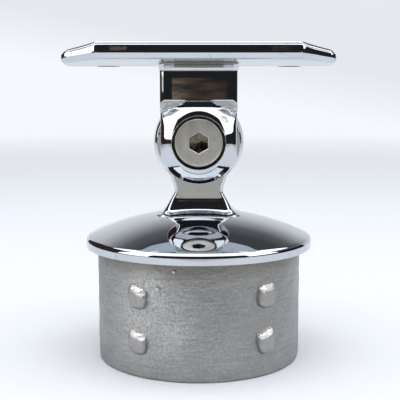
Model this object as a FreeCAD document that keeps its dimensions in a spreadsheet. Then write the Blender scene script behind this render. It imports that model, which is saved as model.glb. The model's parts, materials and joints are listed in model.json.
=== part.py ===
import FreeCAD, Part
import math
import os
import re
import Sketcher

# Adjustable handrail bracket: a plug and domed cap for a round post, with a saddle that tilts on a knuckle.
# Frame: origin at the centre of the flange's underside, +Z up the post's axis, +X along the handrail,
# the hinge axis along Y with the screw's head towards -Y.

# Driving sizes, in millimetres, with angles in degrees and one count.
SIZES = {
    # Post tube that the cap closes, and the plug that goes into it
    "post_outer_diameter": 50.8,
    "post_wall": 1.5,
    "plug_clearance": 1.1,
    "plug_length": 25.0,
    "plug_wall": 3.0,
    "plug_foot_round": 0.6,
    # Grip bumps, which fill the plug's clearance
    "bump_columns": 5,
    "bump_first_angle": -124.0,
    "bump_upper_drop": 7.5,
    "bump_row_gap": 9.7,
    "bump_width": 5.3,
    "bump_tall": 6.4,
    "bump_sink": 1.1,
    # Flange and dome
    "rim_height": 2.2,
    "rim_round": 0.9,
    "dome_rise": 5.7,
    "roof_thickness": 4.0,
    # Neck
    "neck_foot_width": 18.0,
    "neck_foot_depth": 10.6,
    "neck_foot_sink": 2.0,
    "neck_waist_width": 10.7,
    "neck_waist_height": 12.2,
    "neck_lap": 0.3,
    # Knuckle
    "pivot_height": 23.5,
    "lug_radius": 10.1,
    "lug_thickness": 8.0,
    "ear_side_gap": 0.1,
    "ear_roof_gap": 0.5,
    "ear_radius": 9.2,
    "ear_rim_reach": 6.0,
    "ear_edge_round": 0.9,
    # Block of the saddle
    "block_width": 16.8,
    "block_depth": 16.8,
    "block_drop": 9.0,
    "block_chamfer": 3.8,
    "block_edge_round": 1.4,
    "block_root_round": 1.8,
    # Cradle plate
    "rail_diameter": 50.8,
    "saddle_reach": 16.5,
    "plate_length": 59.0,
    "plate_width": 25.0,
    "plate_floor": 2.2,
    "plate_under_rise": 1.3,
    "plate_corner_length": 8.0,
    "plate_corner_width": 4.5,
    "plate_edge_round": 0.8,
    "plate_edge_bevel": 1.1,
    "rail_hole_diameter": 5.2,
    "rail_hole_spacing": 40.0,
    # Hinge screw
    "screw_diameter": 6.0,
    "screw_length": 12.0,
    "screw_point_chamfer": 0.6,
    "screw_running_clearance": 0.05,
    "screw_passing_clearance": 0.2,
    "head_diameter": 10.5,
    "head_height": 2.8,
    "head_edge_round": 0.35,
    "hex_across_flats": 4.0,
    "hex_depth": 2.0,
    "counterbore_diameter": 11.6,
    "counterbore_depth": 3.0,
}

Z_AXIS = FreeCAD.Rotation()
ALONG_X = FreeCAD.Rotation(FreeCAD.Vector(0, 1, 0), 90)
ALONG_Y = FreeCAD.Rotation(FreeCAD.Vector(1, 0, 0), -90)
POINT_UP = ALONG_Y * FreeCAD.Rotation(FreeCAD.Vector(0, 0, 1), 90)
WEDGE_UP = FreeCAD.Rotation(FreeCAD.Vector(1, 0, 0), 90)
SIDE_VIEW = FreeCAD.Rotation(FreeCAD.Vector(1, 1, 1), 120)

# The level of the plate's underside at its middle, and the radius that it curves to
UNDER_LEVEL = "(pivot_height + saddle_reach)"
UNDER_RADIUS = "(((plate_width / 2)^2 + plate_under_rise^2) / (2 * plate_under_rise))"

# How far past a face an edge on it is still looked for
SEAM = 0.1

# The two ends of the part along X, with the sign of their places
ENDS = (("Left", "-"), ("Right", ""))

doc = FreeCAD.newDocument("handrail_bracket")


def make_sheet():
    """The spreadsheet of driving sizes, one row each with its name as alias."""
    sheet = doc.addObject("Spreadsheet::Sheet", "Sizes")
    for row, (name, value) in enumerate(SIZES.items(), start=1):
        sheet.set(f"A{row}", name)
        sheet.set(f"B{row}", str(value))
        sheet.setAlias(f"B{row}", name)
    doc.recompute()
    return sheet


def sized(text):
    """An expression in which every size's name points at its cell."""
    return re.sub(r"\b[a-z_]+\b", lambda word: cell(word.group()), text)


def cell(word):
    """The sheet's address of a size, or the word itself if it isn't one."""
    return f"Sizes.{word}" if word in SIZES else word


def bind(obj, **expressions):
    """Ties properties of an object to expressions in the sheet's sizes."""
    for name, text in expressions.items():
        obj.setExpression(name, sized(text))


def place(obj, turn=Z_AXIS, **base):
    """Turns an object and ties its base point to expressions, where one is given."""
    obj.Placement = FreeCAD.Placement(FreeCAD.Vector(), turn)
    for axis, text in base.items():
        obj.setExpression(f"Placement.Base.{axis}", sized(text))


def cylinder(name, radius, height, turn=Z_AXIS, **base):
    """A cylinder whose base point is given and whose axis is turned from +Z."""
    obj = doc.addObject("Part::Cylinder", name)
    bind(obj, Radius=radius, Height=height)
    place(obj, turn, **base)
    return obj


def sphere(name, radius, **base):
    """A full sphere about its base point."""
    obj = doc.addObject("Part::Sphere", name)
    bind(obj, Radius=radius)
    place(obj, **base)
    return obj


def centred_box(name, length, width, height, z):
    """A box centred on the Z axis, with its lower face at z."""
    obj = doc.addObject("Part::Box", name)
    bind(obj, Length=length, Width=width, Height=height)
    place(obj, x=f"-({length}) / 2", y=f"-({width}) / 2", z=z)
    return obj


def fuse(name, *shapes):
    """All the shapes as one."""
    obj = doc.addObject("Part::MultiFuse", name)
    obj.Shapes = list(shapes)
    return obj


def common(name, *shapes):
    """What all the shapes share."""
    obj = doc.addObject("Part::MultiCommon", name)
    obj.Shapes = list(shapes)
    return obj


def cut(name, base, tool):
    """The base without the tool."""
    obj = doc.addObject("Part::Cut", name)
    obj.Base = base
    obj.Tool = tool
    return obj


def outline(name, points):
    """A closed polygon sketch whose corners are tied to pairs of expressions."""
    sketch = doc.addObject("Sketcher::SketchObject", name)
    count = len(points)
    corners = [FreeCAD.Vector(*[value_of(text) for text in point]) for point in points]
    for index in range(count):
        line = Part.LineSegment(corners[index], corners[(index + 1) % count])
        sketch.addGeometry(line, False)
    for index in range(count):
        sketch.addConstraint(Sketcher.Constraint("Coincident", index, 2, (index + 1) % count, 1))
    for index, point in enumerate(points):
        for axis, text in zip("XY", point):
            datum = value_of(text)
            number = sketch.addConstraint(Sketcher.Constraint(f"Distance{axis}", -1, 1, index, 1, datum))
            sketch.renameConstraint(number, f"corner_{index}_{axis}")
            sketch.setExpression(f"Constraints.corner_{index}_{axis}", sized(text))
    return sketch


def value_of(text):
    """An expression's present value."""
    return float(doc.Sizes.evalExpression(sized(text)))


def extrude(name, sketch, direction, forward, backward="0"):
    """A solid from a sketch, drawn out along a direction both ways."""
    obj = doc.addObject("Part::Extrusion", name)
    obj.Base = sketch
    obj.DirMode = "Custom"
    obj.Dir = direction
    obj.Solid = True
    bind(obj, LengthFwd=forward, LengthRev=backward)
    return obj


def body_from(name, base):
    """A body named after its node, started from a finished boolean."""
    doc.recompute()
    body = doc.addObject("PartDesign::Body", name)
    body.Label = name
    body.BaseFeature = base
    doc.recompute()
    return body


def dress(body, kind, name, chosen, **expressions):
    """A fillet or chamfer on the edges of the body's tip that the test picks."""
    tip = body.Tip
    names = [f"Edge{number}" for number, edge in enumerate(tip.Shape.Edges, start=1) if chosen(edge)]
    if not names:
        raise RuntimeError(f"{name}: no edge found")
    feature = body.newObject(f"PartDesign::{kind}", name)
    feature.Base = (tip, names)
    bind(feature, **expressions)
    doc.recompute()
    return feature


def near(value, target, slack=0.02):
    """Whether two lengths agree."""
    return abs(value - target) <= slack


def on_post_ring(radius, level):
    """A test for the edges on one circle about the post's axis."""
    radius, level = value_of(radius), value_of(level)

    def test(edge):
        box = edge.BoundBox
        flat = near(box.ZMin, level) and near(box.ZMax, level)
        return flat and all(near(math.hypot(v.X, v.Y), radius) for v in edge.Vertexes)

    return test


def on_hinge_ring(radius, level):
    """A test for the edges on one circle about the hinge's axis, at a place along Y."""
    radius, level, pivot = value_of(radius), value_of(level), value_of("pivot_height")

    def test(edge):
        box = edge.BoundBox
        flat = near(box.YMin, level) and near(box.YMax, level)
        return flat and all(near(math.hypot(v.X, v.Z - pivot), radius) for v in edge.Vertexes)

    return test


def post_cap_base():
    """The lower casting: plug with grip bumps, flange, dome, neck and lug."""
    plug_radius = "(post_outer_diameter / 2 - post_wall - plug_clearance)"
    hollow_radius = f"({plug_radius} - plug_wall)"
    dome_top = "(rim_height + dome_rise)"
    plug = cylinder("Plug", plug_radius, "plug_length + rim_height", z="-plug_length")
    disc = cylinder("FlangeDisc", "post_outer_diameter / 2", f"{dome_top} + rim_height")
    ball_radius = "((post_outer_diameter / 2)^2 + dome_rise^2) / (2 * dome_rise)"
    ball = sphere("DomeBall", ball_radius, z=f"{dome_top} - {ball_radius}")
    dome = common("Dome", disc, ball)
    bore = cylinder("HollowBore", hollow_radius, f"2 * plug_length + {dome_top}", z="-2 * plug_length")
    roof = sphere("HollowRoof", f"{ball_radius} - roof_thickness", z=f"{dome_top} - {ball_radius}")
    hollow = common("Hollow", bore, roof)
    solids = [plug, dome, *grip_bumps(), neck_foot(dome_top), neck_stem(), lug()]
    whole = fuse("BaseSolids", *solids)
    pivot = cylinder(
        "PivotBore",
        "screw_diameter / 2 + screw_running_clearance",
        "lug_thickness + neck_foot_depth",
        ALONG_Y,
        y="-(lug_thickness + neck_foot_depth) / 2",
        z="pivot_height",
    )
    casting = cut("BaseCasting", whole, fuse("BaseCutters", hollow, pivot))
    body = body_from("post_cap_base", casting)
    rim = on_post_ring("post_outer_diameter / 2", "rim_height")
    foot = on_post_ring(plug_radius, "-plug_length")
    dress(body, "Fillet", "RimRound", rim, Radius="rim_round")
    dress(body, "Fillet", "FootRound", foot, Radius="plug_foot_round")
    return body


def grip_bumps():
    """Cast cushions in two rows around the plug, as high as the post's inside."""
    crest = "(post_outer_diameter / 2 - post_wall)"
    bumps = []
    for row in range(2):
        for column in range(int(SIZES["bump_columns"])):
            bump = doc.addObject("Part::Ellipsoid", f"Bump_{row}_{column}")
            height = "(plug_clearance + bump_sink)"
            bind(bump, Radius1="bump_tall / 2", Radius2=height, Radius3="bump_width / 2")
            turn = f"(bump_first_angle + {column} * 360 / bump_columns)"
            reach = f"({crest} - {height})"
            place(
                bump,
                x=f"{reach} * cos({turn} * 1deg)",
                y=f"{reach} * sin({turn} * 1deg)",
                z=f"-bump_upper_drop - {row} * bump_row_gap",
            )
            bump.setExpression("Placement.Rotation.Angle", sized(f"{turn} * 1deg"))
            bumps.append(bump)
    return bumps


def neck_foot(dome_top):
    """The tapered square foot of the neck, sunk into the dome."""
    foot = doc.addObject("Part::Wedge", "NeckFoot")
    low = f"({dome_top} - neck_foot_sink)"
    bind(foot, Ymin=low, Ymax="neck_waist_height")
    bind(foot, Xmin="-neck_foot_width / 2", Xmax="neck_foot_width / 2")
    bind(foot, Zmin="-neck_foot_depth / 2", Zmax="neck_foot_depth / 2")
    bind(foot, X2min="-neck_waist_width / 2", X2max="neck_waist_width / 2")
    bind(foot, Z2min="-lug_thickness / 2", Z2max="lug_thickness / 2")
    place(foot, WEDGE_UP)
    return foot


def neck_stem():
    """The tongue from the waist to the lug, as thick as the lug and coved at its sides."""
    waist = "(neck_waist_width / 2)"
    rise = "(pivot_height - neck_waist_height)"
    reach = "(lug_radius - neck_lap)"
    cove = f"(({waist}^2 + {rise}^2 - {reach}^2) / (2 * ({reach} - {waist})))"
    half_width = f"({reach} * ({waist} + {cove}) / ({reach} + {cove}))"
    stem = centred_box("StemBlank", f"2 * {half_width}", "lug_thickness", rise, "neck_waist_height")
    cutters = []
    for side, sign in ENDS:
        cutters.append(
            cylinder(
                f"Cove{side}",
                cove,
                "2 * lug_thickness",
                ALONG_Y,
                x=f"{sign}({waist} + {cove})",
                y="-lug_thickness",
                z="neck_waist_height",
            )
        )
    return cut("NeckStem", stem, fuse("StemCutters", *cutters))


def lug():
    """The knuckle's middle slice: a ball about the pivot between two flats."""
    ball = sphere("LugBall", "lug_radius", z="pivot_height")
    room = "(4 * lug_radius)"
    slab = centred_box("LugSlab", room, "lug_thickness", room, f"pivot_height - {room} / 2")
    return common("Lug", ball, slab)


def rail_saddle():
    """The upper casting: cradle plate, block and the fork of two ears."""
    whole = fuse("SaddleSolids", cradle_plate(), saddle_block(), fork_ears())
    slot_width = "(lug_thickness + 2 * ear_side_gap)"
    slot = cylinder(
        "ForkSlot",
        "lug_radius + ear_roof_gap",
        slot_width,
        ALONG_Y,
        y=f"-{slot_width} / 2",
        z="pivot_height",
    )
    counterbore = cylinder(
        "Counterbore",
        "counterbore_diameter / 2",
        "block_depth",
        ALONG_Y,
        y="counterbore_depth - block_depth * 3 / 2",
        z="pivot_height",
    )
    passing = cylinder(
        "PassingHole",
        "screw_diameter / 2 + screw_passing_clearance",
        "block_depth / 2",
        ALONG_Y,
        y="-block_depth / 2",
        z="pivot_height",
    )
    thread = cylinder("ThreadedHole", "screw_diameter / 2", "block_depth", ALONG_Y, z="pivot_height")
    holes = []
    for side, sign in ENDS:
        holes.append(
            cylinder(
                f"RailHole{side}",
                "rail_hole_diameter / 2",
                "rail_diameter",
                x=f"{sign}rail_hole_spacing / 2",
                z=f"{UNDER_LEVEL} - plate_floor",
            )
        )
    casting = cut("SaddleCasting", whole, fuse("SaddleCutters", slot, counterbore, passing, thread, *holes))
    body = body_from("rail_saddle", casting)
    dress(body, "Fillet", "BlockEdgeRound", is_block_corner, Radius="block_edge_round")
    dress(body, "Fillet", "BlockRootRound", is_block_root, Radius="block_root_round")
    dress(body, "Fillet", "PlateEdgeRound", is_plate_top, Radius="plate_edge_round")
    dress(body, "Chamfer", "PlateEdgeBevel", is_plate_bottom, Size="plate_edge_bevel")
    for side, sign in (("Front", "-"), ("Back", "")):
        ear_rim = on_hinge_ring("ear_radius", f"{sign}ear_rim_reach")
        dress(body, "Fillet", f"EarRound{side}", ear_rim, Radius="ear_edge_round")
    return body


def is_block_corner(edge):
    """Whether an edge is one of the block's four upright corners."""
    middle, box = edge.CenterOfMass, edge.BoundBox
    upright = near(box.XLength, 0) and near(box.YLength, 0)
    at_side = near(abs(middle.x), value_of("block_width / 2"))
    return upright and at_side and near(abs(middle.y), value_of("block_depth / 2"))


def is_block_root(edge):
    """Whether an edge lies where the block meets the plate's underside."""
    width, depth = value_of("block_width / 2"), value_of("block_depth / 2")
    within = all(abs(v.X) < width + SEAM and abs(v.Y) < depth + SEAM for v in edge.Vertexes)
    return within and all(near(off_underside(v), 0) for v in edge.Vertexes)


def is_outline_edge(edge):
    """Whether an edge keeps to the plate's outline, seen from above."""
    places = [vertex.Point for vertex in edge.Vertexes] + [edge.CenterOfMass]
    return all(near(off_outline(abs(place.x), abs(place.y)), 0) for place in places)


def off_outline(x, y):
    """How far a place in the plate's first quarter lies outside the outline with its cut corner."""
    past_end = x - value_of("plate_length / 2")
    past_side = y - value_of("plate_width / 2")
    length, width = value_of("plate_corner_length"), value_of("plate_corner_width")
    past_corner = (past_end * width + past_side * length + length * width) / math.hypot(length, width)
    return max(past_end, past_side, past_corner)


def is_plate_top(edge):
    """Whether an outline edge of the plate is on the rail's side."""
    return is_outline_edge(edge) and all(near(off_rail(v), 0) for v in edge.Vertexes)


def is_plate_bottom(edge):
    """Whether an outline edge of the plate is on the underside."""
    return is_outline_edge(edge) and all(near(off_underside(v), 0) for v in edge.Vertexes)


def off_rail(vertex):
    """How far a corner lies outside the rail."""
    axis = value_of(f"{UNDER_LEVEL} + plate_floor + rail_diameter / 2")
    return math.hypot(vertex.Y, vertex.Z - axis) - value_of("rail_diameter / 2")


def off_underside(vertex):
    """How far a corner lies outside the round of the plate's underside."""
    axis = value_of(f"{UNDER_LEVEL} + {UNDER_RADIUS}")
    return math.hypot(vertex.Y, vertex.Z - axis) - value_of(UNDER_RADIUS)


def cradle_plate():
    """The plate that carries the rail, with cut corners and a flatter underside."""
    half_length, half_width = "plate_length / 2", "plate_width / 2"
    straight_x = "(plate_length / 2 - plate_corner_length)"
    straight_y = "(plate_width / 2 - plate_corner_width)"
    quarter = [(half_length, straight_y), (straight_x, half_width)]
    corners = quarter + [(f"-{x}", y) for x, y in reversed(quarter)]
    corners += [(f"-{x}", f"-{y}") for x, y in quarter] + [(x, f"-{y}") for x, y in reversed(quarter)]
    sketch = outline("PlateOutline", corners)
    place(sketch, z=UNDER_LEVEL)
    blank = extrude("PlateBlank", sketch, FreeCAD.Vector(0, 0, 1), "rail_diameter / 2")
    under = cylinder(
        "PlateUnderside",
        UNDER_RADIUS,
        "2 * plate_length",
        ALONG_X,
        x="-plate_length",
        z=f"{UNDER_LEVEL} + {UNDER_RADIUS}",
    )
    rail = cylinder(
        "RailSpace",
        "rail_diameter / 2",
        "2 * plate_length",
        ALONG_X,
        x="-plate_length",
        z=f"{UNDER_LEVEL} + plate_floor + rail_diameter / 2",
    )
    return cut("CradlePlate", common("PlateBelly", blank, under), rail)


def saddle_block():
    """The square block under the plate, chamfered towards the ears at front and back."""
    top = f"({UNDER_LEVEL} + plate_floor / 2)"
    edge = "(pivot_height + block_drop)"
    half = "(block_depth / 2)"
    side = [(half, top), (half, edge), (f"({half} - block_chamfer)", f"({edge} - block_chamfer)")]
    corners = side + [(f"-{y}", z) for y, z in reversed(side)]
    sketch = outline("BlockOutline", corners)
    place(sketch, SIDE_VIEW)
    return extrude("SaddleBlock", sketch, FreeCAD.Vector(1, 0, 0), "block_width / 2", "block_width / 2")


def fork_ears():
    """Both ears as one: round below the pivot, flat at the sides, and crowned at front and back."""
    disc = cylinder("EarDisc", "ear_radius", "block_depth", ALONG_Y, y="-block_depth / 2", z="pivot_height")
    room = "(4 * ear_radius)"
    sides = centred_box("EarSides", "block_width", room, room, f"pivot_height - {room} / 2")
    round_end = common("EarRound", disc, sides)
    cheek_height = "block_drop - block_chamfer / 2"
    cheek = centred_box("EarCheek", "block_width", "block_depth", cheek_height, "pivot_height")
    lip, rim = "(counterbore_diameter / 2)", "ear_radius"
    lip_reach, rim_reach = "(block_depth / 2)", "ear_rim_reach"
    spread = f"({rim}^2 - {lip}^2 - {lip_reach}^2 + {rim_reach}^2)"
    offset = f"({spread} / (2 * ({lip_reach} - {rim_reach})))"
    radius = f"sqrt(({lip_reach} + {offset})^2 + {lip}^2)"
    front = sphere("CrownFront", radius, y=offset, z="pivot_height")
    back = sphere("CrownBack", radius, y=f"-{offset}", z="pivot_height")
    return common("ForkEars", fuse("EarProfile", round_end, cheek), front, back)


def hinge_screw():
    """The low-head socket screw: head in the counterbore, shank through the lug into the rear ear."""
    seat = "(counterbore_depth - block_depth / 2)"
    head = cylinder(
        "ScrewHead",
        "head_diameter / 2",
        "head_height",
        ALONG_Y,
        y=f"{seat} - head_height",
        z="pivot_height",
    )
    shank = cylinder("ScrewShank", "screw_diameter / 2", "screw_length", ALONG_Y, y=seat, z="pivot_height")
    socket = doc.addObject("Part::Prism", "HexSocket")
    socket.Polygon = 6
    bind(socket, Circumradius="hex_across_flats / sqrt(3)", Height="hex_depth + head_height")
    place(socket, POINT_UP, y=f"{seat} - 2 * head_height", z="pivot_height")
    screw = cut("ScrewBlank", fuse("ScrewSolids", head, shank), socket)
    body = body_from("hinge_screw", screw)
    head_edge = on_hinge_ring("head_diameter / 2", f"{seat} - head_height")
    point_edge = on_hinge_ring("screw_diameter / 2", f"{seat} + screw_length")
    dress(body, "Fillet", "HeadEdgeRound", head_edge, Radius="head_edge_round")
    dress(body, "Chamfer", "PointChamfer", point_edge, Size="screw_point_chamfer")
    return body


def check(bodies):
    """Stops if any object failed, or a finished piece isn't one valid solid."""
    for obj in doc.Objects:
        if {"Invalid", "Error"} & set(obj.State):
            raise RuntimeError(f"{obj.Name} failed: {obj.State}")
    for body in bodies:
        shape = body.Shape
        if shape.isNull() or not shape.isValid() or len(shape.Solids) != 1:
            raise RuntimeError(f"{body.Label} isn't one valid solid")


def main():
    make_sheet()
    bodies = [post_cap_base(), rail_saddle(), hinge_screw()]
    doc.recompute()
    check(bodies)
    os.makedirs("parts", exist_ok=True)
    for body in bodies:
        body.Shape.exportStep(f"parts/{body.Label}.step")
        print(body.Label, round(body.Shape.Volume, 1), body.Shape.BoundBox)


main()
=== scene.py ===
"""Dresses an adjustable handrail bracket: a post cap with a neck, a tilting rail saddle and a screw."""

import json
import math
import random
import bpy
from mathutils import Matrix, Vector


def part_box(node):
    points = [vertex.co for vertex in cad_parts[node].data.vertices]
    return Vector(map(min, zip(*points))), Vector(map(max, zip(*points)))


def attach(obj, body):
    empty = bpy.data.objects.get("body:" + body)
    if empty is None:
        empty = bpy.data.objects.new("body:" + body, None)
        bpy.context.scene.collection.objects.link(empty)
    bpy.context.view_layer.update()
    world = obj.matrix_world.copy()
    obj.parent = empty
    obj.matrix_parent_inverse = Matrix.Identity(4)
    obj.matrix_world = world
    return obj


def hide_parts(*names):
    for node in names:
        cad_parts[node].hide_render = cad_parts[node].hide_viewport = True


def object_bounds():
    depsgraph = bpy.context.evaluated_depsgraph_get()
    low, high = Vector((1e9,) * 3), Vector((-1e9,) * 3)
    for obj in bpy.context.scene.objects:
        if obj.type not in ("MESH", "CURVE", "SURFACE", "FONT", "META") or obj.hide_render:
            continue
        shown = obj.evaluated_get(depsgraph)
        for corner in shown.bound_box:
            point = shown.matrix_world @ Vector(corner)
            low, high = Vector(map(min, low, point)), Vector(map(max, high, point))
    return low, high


bl_info = {
    "name": "Handrail Bracket",
    "version": (1, 0, 0),
    "blender": (4, 5, 0),
    "location": "View3D > Sidebar > Bracket",
    "description": "Models a polished handrail bracket and its studio stage",
    "category": "Add Mesh",
}

from types import SimpleNamespace

import bmesh
import bpy
from bpy.props import FloatProperty, FloatVectorProperty, PointerProperty
from mathutils import Vector, noise

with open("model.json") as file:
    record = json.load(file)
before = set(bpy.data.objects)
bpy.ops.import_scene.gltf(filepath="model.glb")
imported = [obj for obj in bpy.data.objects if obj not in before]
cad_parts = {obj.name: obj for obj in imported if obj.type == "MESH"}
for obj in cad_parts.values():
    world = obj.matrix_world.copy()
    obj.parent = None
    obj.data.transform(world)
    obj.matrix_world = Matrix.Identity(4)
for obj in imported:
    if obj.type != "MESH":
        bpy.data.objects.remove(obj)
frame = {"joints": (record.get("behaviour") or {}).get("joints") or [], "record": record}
CAD_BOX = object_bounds()

# Pieces are modelled in millimetres and scaled to metres when they are finished.
MM = 0.001

BASE_LOW, BASE_HIGH = (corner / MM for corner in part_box("post_cap_base"))
_, SADDLE_HIGH = (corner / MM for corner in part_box("rail_saddle"))
SCREW_LOW, SCREW_HIGH = (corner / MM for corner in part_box("hinge_screw"))
PIVOT = frame["joints"][0]["pos_m"][2] / MM
MOUNTS = {mount["name"]: mount for mount in frame["record"]["mounts"]}
RAIL_HOLES = MOUNTS["rail_holes"]["dims"]
RAIL_LEVEL = MOUNTS["rail_seat"]["pos_m"][2] / MM

# Points closer than this are one
WELD = 0.001
# Edges that turn by more than this stay sharp
SHARP_ANGLE = math.radians(32)
ABOUT_POST = Vector((0, 0, 1))
ABOUT_HINGE = Vector((0, 1, 0))
# Finishes of a casting, in the order of its materials
POLISHED, CAST, GROUND = range(3)


def length(name, millimetres, description):
    """A size that a user can change, kept in metres."""
    return FloatProperty(
        name=name, description=description, default=millimetres * MM, unit="LENGTH", precision=5
    )


def colour(name, default, description):
    """A colour that a user can change."""
    return FloatVectorProperty(
        name=name, description=description, default=default, subtype="COLOR", size=3, min=0.0, max=1.0
    )


class CapSizes(bpy.types.PropertyGroup):
    """Sizes of the post cap, its plug and its neck."""

    flange_radius: length("Flange radius", BASE_HIGH.x, "Outside radius of the flange and of the post")
    rim_height: length("Rim height", 2.2, "Height of the flange's edge before it is rounded")
    rim_round: length("Rim round", 1.25, "Rounding of the flange's upper edge")
    rim_foot_round: length("Rim foot round", 0.3, "Rounding of the flange's lower edge")
    dome_rise: length("Dome rise", 5.7, "Height of the dome above the flange's edge")
    roof_thickness: length("Roof thickness", 4.0, "Metal between the dome and the hollow")
    plug_radius: length("Plug radius", 22.8, "Outside radius of the plug")
    plug_length: length("Plug length", -BASE_LOW.z, "How far the plug goes into the post")
    plug_wall: length("Plug wall", 3.0, "Wall of the plug")
    plug_foot_round: length("Plug foot round", 0.6, "Rounding of the plug's lower edge")
    plug_waver: length("Plug waver", 0.09, "How far the cast wall strays from a true cylinder")
    bump_height: length("Bump height", 1.1, "How far a grip bump stands out of the plug")
    bump_width: length("Bump width", 5.0, "Width of a grip bump")
    bump_tall: length("Bump tall", 5.8, "Height of a grip bump along the plug")
    bump_drop: length("Bump drop", 7.5, "From the flange down to the upper row of bumps")
    bump_row_gap: length("Bump row gap", 9.7, "From one row of bumps to the next")
    waist_width: length("Waist width", 10.7, "Width of the neck at its narrowest")
    waist_height: length("Waist height", 12.2, "Height of the neck's narrowest place")
    foot_cove: length("Foot cove", 1.4, "Hollow rounding where the neck stands on the dome")
    lug_radius: length("Lug radius", 10.1, "Radius of the knuckle's middle ball")
    lug_half: length("Lug half thickness", 3.98, "Half the thickness of the knuckle's middle slice")
    pivot_radius: length("Pivot radius", 3.05, "Radius of the hinge's bore")


class SaddleSizes(bpy.types.PropertyGroup):
    """Sizes of the rail saddle."""

    half_length: length("Half length", SADDLE_HIGH.x, "Half the plate's length along the rail")
    half_width: length("Half width", SADDLE_HIGH.y, "Half the plate's width across the rail")
    corner_length: length("Corner length", 8.0, "How much of the length a cut corner takes")
    corner_width: length("Corner width", 4.5, "How much of the width a cut corner takes")
    under_level: length("Underside level", 40.0, "Height of the middle of the plate's underside")
    under_rise: length("Underside rise", 1.3, "How far the underside rises to its long edges")
    rail_radius: length("Rail radius", 25.4, "Radius of the trough that takes the rail")
    edge_bevel: length("Edge bevel", 1.2, "Height of the drawn-in band around the underside")
    edge_draw: length("Edge draw", 0.26, "How far the band around the underside is drawn in")
    edge_slope: length("Edge slope", 0.75, "Depth of the buffed slope along the plate's upper edge")
    block_half: length("Block half", 8.4, "Half the block's width, and the ears' reach along the hinge")
    block_reach: length("Block reach", 7.9, "From the middle to the block's front, along the hinge")
    block_foot: length("Block foot", 32.5, "Height where the block's front starts to slope in")
    block_corner: length("Block corner", 1.4, "Rounding of the block's upright corners")
    block_root: length("Block root", 1.35, "Hollow rounding between the block and the plate")
    web_reach: length("Web reach", 7.6, "From the middle to the web under the block, above an ear")
    ear_radius: length("Ear radius", 9.2, "Radius of an ear's round end")
    ear_rim_reach: length("Ear rim reach", 5.4, "From the middle to an ear's rim, along the hinge")
    ear_round: length("Ear round", 1.2, "Width of the rounding along an ear's rim")
    lip_width: length("Lip width", 0.95, "Width of the lip over and under the recess for the screw's head")
    slot_radius: length("Slot radius", 10.6, "Radius of the slot that takes the lug")
    slot_half: length("Slot half width", 4.1, "Half the width of the slot that takes the lug")
    bore_radius: length("Counterbore radius", 5.8, "Radius of the recess for the screw's head")
    bore_floor: length("Counterbore floor", 5.4, "From the middle to the floor of the recess")
    passing_radius: length("Passing radius", 3.2, "Radius of the hole that the screw passes")


class ScrewSizes(bpy.types.PropertyGroup):
    """Sizes of the hinge screw."""

    head_radius: length("Head radius", SCREW_HIGH.x, "Radius of the screw's head")
    head_face: length("Head face", SCREW_LOW.y, "Place of the head's face along the hinge")
    head_seat: length("Head seat", -5.4, "Place of the head's seat along the hinge")
    head_round: length("Head round", 0.35, "Rounding of the head's edge")
    shank_radius: length("Shank radius", 3.0, "Radius of the shank")
    shank_end: length("Shank end", SCREW_HIGH.y, "Place of the shank's end along the hinge")
    thread_start: length("Thread start", 4.2, "Place along the hinge where the thread starts")
    thread_pitch: length("Thread pitch", 1.0, "Distance from one turn of the thread to the next")
    thread_depth: length("Thread depth", 0.5, "Depth of the thread")
    hex_flats: length("Hex across flats", 4.0, "Width of the socket across its flats")
    hex_depth: length("Hex depth", 2.0, "Depth of the socket")


class Finishes(bpy.types.PropertyGroup):
    """Colours of the metal."""

    polished: colour("Polished steel", (0.58, 0.61, 0.65), "Mirror-polished stainless steel")
    cast: colour("Cast steel", (0.36, 0.36, 0.355), "Stainless steel as it was cast")
    ground: colour("Ground steel", (0.66, 0.655, 0.64), "Bump tops and slopes, ground by hand")
    turned: colour("Turned steel", (0.63, 0.62, 0.595), "Plain turned stainless steel")
    # The socket's dark colour is painted shade inside the recess.
    socket: colour("Socket", (0.15, 0.14, 0.11), "Inside of the screw's socket, stained by oil")


class Studio(bpy.types.PropertyGroup):
    """The stage and the camera."""

    camera_place: FloatVectorProperty(
        name="Camera place",
        description="Where the camera stands",
        default=(0.00027, -0.18854, 0.03428),
        subtype="TRANSLATION",
        unit="LENGTH",
    )
    camera_pitch: FloatProperty(
        name="Camera pitch",
        description="How far the camera looks down",
        default=math.radians(7.31),
        subtype="ANGLE",
    )
    camera_lens: FloatProperty(
        name="Camera lens",
        description="Focal length in millimetres on a 36 mm sensor",
        default=75.4,
    )
    table_colour: colour("Table", (0.86, 0.875, 0.91), "The pale table")
    room_colour: colour("Room", (0.915, 0.938, 0.98), "The pale room beyond the table")
    reflector_colour: colour("Reflectors", (1.0, 1.0, 1.0), "White cards that the metal mirrors")
    flag_colour: colour("Flags", (0.02, 0.021, 0.023), "Dark cards that the metal mirrors")
    rust_colour: colour("Rust flag", (0.048, 0.026, 0.02), "The dark red card at the left")
    apron_colour: colour("Apron", (0.56, 0.545, 0.49), "The floor in front, where the metal mirrors it")
    brown_colour: colour("Brown flags", (0.11, 0.08, 0.063), "Brown cards that the metal mirrors")


def in_millimetres(group):
    """The sizes of a property group, as plain numbers in millimetres."""
    names = type(group).__annotations__
    return SimpleNamespace(**{name: getattr(group, name) / MM for name in names})


# Curves and outlines


def blend(low, high, share):
    """A value part of the way between two."""
    return low + (high - low) * share


def smooth_step(value, start, end):
    """Rises smoothly from 0 at the start to 1 at the end."""
    share = min(max((value - start) / (end - start), 0.0), 1.0)
    return share * share * (3 - 2 * share)


def soft_min(a, b, softness):
    """The smaller value, rounded off where the two are within the softness."""
    near = max(softness - abs(a - b), 0.0) / softness
    return min(a, b) - near * near * softness / 4


def soft_max(a, b, softness):
    """The larger value, rounded off where the two are within the softness."""
    return -soft_min(-a, -b, softness)


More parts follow.
